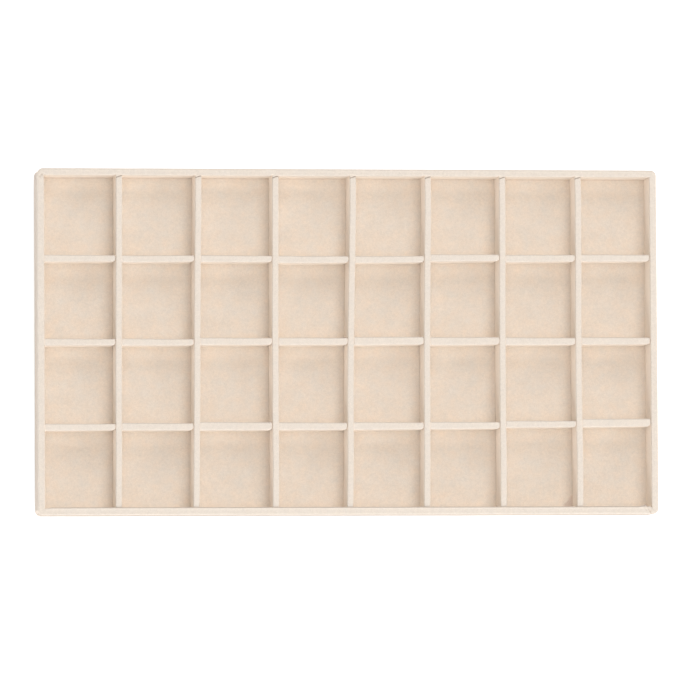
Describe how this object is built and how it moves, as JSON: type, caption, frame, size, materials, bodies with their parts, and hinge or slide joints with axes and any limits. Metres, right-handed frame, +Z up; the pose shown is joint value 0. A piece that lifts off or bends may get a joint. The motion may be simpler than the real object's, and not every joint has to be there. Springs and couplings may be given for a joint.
{
  "type": "jewelry tray",
  "caption": "Shallow open rectangular tray covered in beige velvet cloth, divided into a grid of small square compartments by upright cloth-wrapped strips.",
  "frame": {"origin": "middle of the underside of the tray, on the surface that it stands on", "axes": "+X along the long side to the right as seen from the front, +Y to the back, +Z up"},
  "size_m": [0.3746, 0.2074, 0.0254],
  "materials": {
    "rim_cloth": "matte short pile",
    "divider_cloth": "matte short pile",
    "floor_cloth": "matte short pile",
    "backing_cloth": "matte felt",
    "greyboard": "matte"
  },
  "bodies": {
    "root": {"base_board": "greyboard", "bottom_lining": "backing_cloth", "column_divider_1": "greyboard", "column_divider_2": "greyboard", "column_divider_3": "greyboard", "column_divider_4": "greyboard", "column_divider_5": "greyboard", "column_divider_6": "greyboard", "column_divider_7": "greyboard", "column_wrap_1": "divider_cloth", "column_wrap_2": "divider_cloth", "column_wrap_3": "divider_cloth", "column_wrap_4": "divider_cloth", "column_wrap_5": "divider_cloth", "column_wrap_6": "divider_cloth", "column_wrap_7": "divider_cloth", "cross_divider_back_1": "greyboard", "cross_divider_back_2": "greyboard", "cross_divider_back_3": "greyboard", "cross_divider_back_4": "greyboard", "cross_divider_back_5": "greyboard", "cross_divider_back_6": "greyboard", "cross_divider_back_7": "greyboard", "cross_divider_back_8": "greyboard", "cross_divider_front_1": "greyboard", "cross_divider_front_2": "greyboard", "cross_divider_front_3": "greyboard", "cross_divider_front_4": "greyboard", "cross_divider_front_5": "greyboard", "cross_divider_front_6": "greyboard", "cross_divider_front_7": "greyboard", "cross_divider_front_8": "greyboard", "cross_divider_middle_1": "greyboard", "cross_divider_middle_2": "greyboard", "cross_divider_middle_3": "greyboard", "cross_divider_middle_4": "greyboard", "cross_divider_middle_5": "greyboard", "cross_divider_middle_6": "greyboard", "cross_divider_middle_7": "greyboard", "cross_divider_middle_8": "greyboard", "cross_wraps_back": "divider_cloth", "cross_wraps_front": "divider_cloth", "cross_wraps_middle": "divider_cloth", "floor_lining": "floor_cloth", "rim_board_back": "greyboard", "rim_board_front": "greyboard", "rim_board_left": "greyboard", "rim_board_right": "greyboard", "rim_wrap_back": "rim_cloth", "rim_wrap_front": "rim_cloth", "rim_wrap_left": "rim_cloth", "rim_wrap_right": "rim_cloth"}
  },
  "joints": []
}
